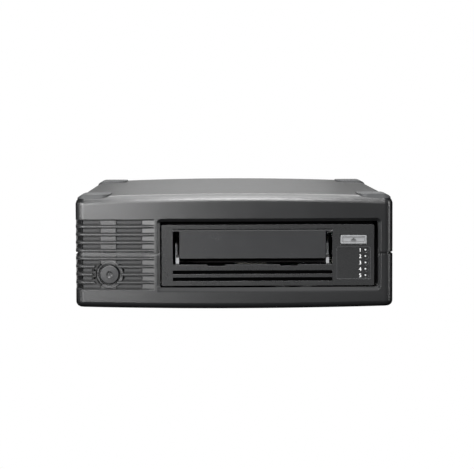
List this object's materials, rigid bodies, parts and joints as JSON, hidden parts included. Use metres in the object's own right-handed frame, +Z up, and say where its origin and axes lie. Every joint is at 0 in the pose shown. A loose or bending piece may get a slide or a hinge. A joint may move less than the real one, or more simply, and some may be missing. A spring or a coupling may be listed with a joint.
{
  "type": "data tape drive",
  "caption": "Desktop tape drive: two-part rounded plastic case with wrap-round side vents, bezel with a cartridge door, eject button and lights, loader mechanism, fan and power supply inside.",
  "frame": {"origin": "centre of the bounding box in X and Y, at the underside of the feet", "axes": "+X to the right seen from the front, front faces -Y, +Z up"},
  "size_m": [0.222, 0.3, 0.0812],
  "materials": {
    "case_plastic": "satin charcoal moulding",
    "button_plastic": "satin",
    "screen_metal": "punched sheet, painted",
    "bezel_plastic": "satin",
    "flap_plastic": "satin",
    "pale_plastic": "satin",
    "rubber_pad": "soft, dull",
    "rubber_foot": "soft, dull",
    "spring_steel": "drawn wire",
    "drive_steel": "zinc-plated sheet",
    "tray_steel": "plated sheet",
    "bracket_steel": "zinc-plated sheet",
    "board": "coated circuit board",
    "black_plastic": "satin",
    "gear_plastic": "smooth",
    "motor_steel": "plated",
    "roller_metal": "polished",
    "head_metal": "machined",
    "panel_metal": "dull painted sheet",
    "supply_metal": "galvanised sheet",
    "socket_metal": "plated shell",
    "guard_metal": "plated wire",
    "cable_jacket": "soft jacket",
    "screw_metal": "plated",
    "light_lens": "clear light pipe"
  },
  "bodies": {
    "enclosure": {"upper_case": "case_plastic", "lower_case": "case_plastic", "vent_screen": "screen_metal", "drive_bezel": "bezel_plastic", "slot_guides": "pale_plastic", "top_pad_front_left": "rubber_pad", "top_pad_front_right": "rubber_pad", "top_pad_rear_left": "rubber_pad", "top_pad_rear_right": "rubber_pad", "foot_front_left": "rubber_foot", "foot_front_right": "rubber_foot", "foot_rear_left": "rubber_foot", "foot_rear_right": "rubber_foot", "door_pin": "spring_steel", "door_spring": "spring_steel", "drive_chassis": "drive_steel", "drive_cover": "drive_steel", "drive_bracket_left": "bracket_steel", "drive_bracket_right": "bracket_steel", "roller_plate": "bracket_steel", "front_board": "board", "drive_board": "board", "psu_board": "board", "power_switch": "black_plastic", "mains_inlet": "black_plastic", "fan_frame": "black_plastic", "loader_motor": "motor_steel", "chuck_motor": "motor_steel", "take_up_motor": "motor_steel", "rear_panel": "panel_metal", "psu_cage": "supply_metal", "data_socket_1": "socket_metal", "data_socket_2": "socket_metal", "fan_guard": "guard_metal", "power_cable": "cable_jacket", "data_cables": "cable_jacket", "switch_cable": "cable_jacket", "case_screws": "screw_metal", "drive_screws": "screw_metal", "fan_screws": "screw_metal", "light_pipe_1": "light_lens", "light_pipe_2": "light_lens", "light_pipe_3": "light_lens", "light_pipe_4": "light_lens", "light_pipe_5": "light_lens"},
    "body_power_button": {"power_button": "button_plastic"},
    "body_eject_button": {"eject_button": "pale_plastic"},
    "body_door_flap": {"door_flap": "flap_plastic"},
    "body_loader_carriage": {"loader_carriage": "drive_steel"},
    "body_cartridge_tray": {"cartridge_tray": "tray_steel"},
    "body_loader_gear": {"loader_gear": "gear_plastic"},
    "body_loader_pinion": {"loader_pinion": "gear_plastic"},
    "body_reel_chuck": {"reel_chuck": "gear_plastic"},
    "body_take_up_reel": {"take_up_reel": "black_plastic"},
    "body_guide_roller_1": {"guide_roller_1": "roller_metal"},
    "body_guide_roller_2": {"guide_roller_2": "roller_metal"},
    "body_guide_roller_3": {"guide_roller_3": "roller_metal"},
    "body_guide_roller_4": {"guide_roller_4": "roller_metal"},
    "body_fan_rotor": {"fan_rotor": "black_plastic"},
    "body_head_carriage": {"head_carriage": "head_metal"}
  },
  "joints": [
    {"name": "power_press", "type": "slide", "parent": "enclosure", "child": "body_power_button", "axis": [0, 1, 0], "range_m": [0, 0.0015], "stiffness_N_per_m": 400, "springref_m": -0.0008},
    {"name": "eject_press", "type": "slide", "parent": "enclosure", "child": "body_eject_button", "axis": [0, 1, 0], "range_m": [0, 0.0008], "stiffness_N_per_m": 600, "springref_m": -0.0005},
    {"name": "door_swing", "type": "hinge", "parent": "enclosure", "child": "body_door_flap", "pos_m": [0.01275, -0.1437, 0.05485], "axis": [1, 0, 0], "range_deg": [0, 80], "stiffness_Nm_per_rad": 0.002, "springref_deg": -14.32},
    {"name": "loader_travel", "type": "slide", "parent": "enclosure", "child": "body_loader_carriage", "axis": [0, 1, 0], "range_m": [0, 0.016]},
    {"name": "tray_drop", "type": "slide", "parent": "body_loader_carriage", "child": "body_cartridge_tray", "axis": [0, 0, -1], "range_m": [0, 0.0045]},
    {"name": "loader_gear_turn", "type": "hinge", "parent": "enclosure", "child": "body_loader_gear", "pos_m": [0.0764, -0.075, 0.028], "axis": [0, 0, 1], "range_deg": [-120, 10]},
    {"name": "loader_pinion_turn", "type": "hinge", "parent": "enclosure", "child": "body_loader_pinion", "pos_m": [0.0764, -0.08715, 0.028], "axis": [0, 0, 1], "range_deg": [-20, 240]},
    {"name": "chuck_spin", "type": "hinge", "parent": "enclosure", "child": "body_reel_chuck", "pos_m": [0.01275, -0.0523, 0.025], "axis": [0, 0, 1], "continuous": true},
    {"name": "take_up_spin", "type": "hinge", "parent": "enclosure", "child": "body_take_up_reel", "pos_m": [0.0144, 0.0316, 0.032], "axis": [0, 0, 1], "continuous": true},
    {"name": "roller_spin_1", "type": "hinge", "parent": "enclosure", "child": "body_guide_roller_1", "pos_m": [0.0784, 0.0046, 0.0345], "axis": [0, 0, 1], "continuous": true},
    {"name": "roller_spin_2", "type": "hinge", "parent": "enclosure", "child": "body_guide_roller_2", "pos_m": [0.0824, 0.0206, 0.0345], "axis": [0, 0, 1], "continuous": true},
    {"name": "roller_spin_3", "type": "hinge", "parent": "enclosure", "child": "body_guide_roller_3", "pos_m": [0.0784, 0.0416, 0.0345], "axis": [0, 0, 1], "continuous": true},
    {"name": "roller_spin_4", "type": "hinge", "parent": "enclosure", "child": "body_guide_roller_4", "pos_m": [0.0644, 0.0526, 0.0345], "axis": [0, 0, 1], "continuous": true},
    {"name": "fan_spin", "type": "hinge", "parent": "enclosure", "child": "body_fan_rotor", "pos_m": [0.055, 0.1286, 0.04], "axis": [0, 1, 0], "continuous": true},
    {"name": "head_travel", "type": "slide", "parent": "enclosure", "child": "body_head_carriage", "axis": [0, 0, 1], "range_m": [-0.003, 0.003]}
  ],
  "couplings": [
    {"joint": "tray_drop", "follows": "loader_travel", "ratio": 0.28125},
    {"joint": "loader_gear_turn", "follows": "loader_travel", "rad_per_m": -125},
    {"joint": "loader_pinion_turn", "follows": "loader_travel", "rad_per_m": 250}
  ]
}
